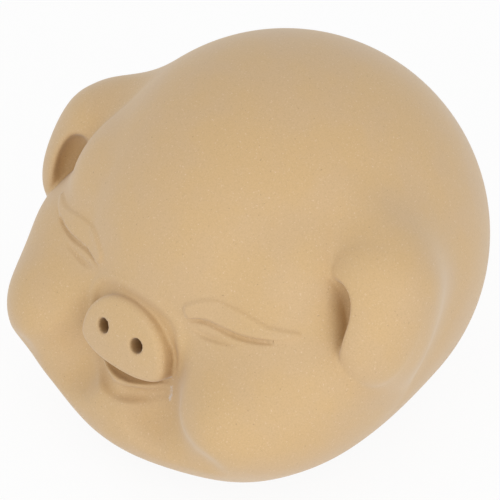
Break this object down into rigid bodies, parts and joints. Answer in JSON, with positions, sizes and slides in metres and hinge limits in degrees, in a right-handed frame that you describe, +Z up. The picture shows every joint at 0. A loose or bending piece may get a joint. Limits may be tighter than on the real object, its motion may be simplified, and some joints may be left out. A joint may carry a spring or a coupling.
{
  "type": "pig statue",
  "caption": "Small round sitting pig figurine of unglazed clay with a closed-eyed smiling face, folded side ears and a flat base.",
  "frame": {"origin": "middle of the underside of the figure's box, on the surface that it stands on", "axes": "+Z up, the snout looks towards -Y, +X to the pig's left"},
  "size_m": [0.087, 0.082, 0.0664],
  "materials": {
    "ochre_clay": "unglazed, fine sandy grain"
  },
  "bodies": {
    "root": {"pig_figure": "ochre_clay"}
  },
  "joints": []
}
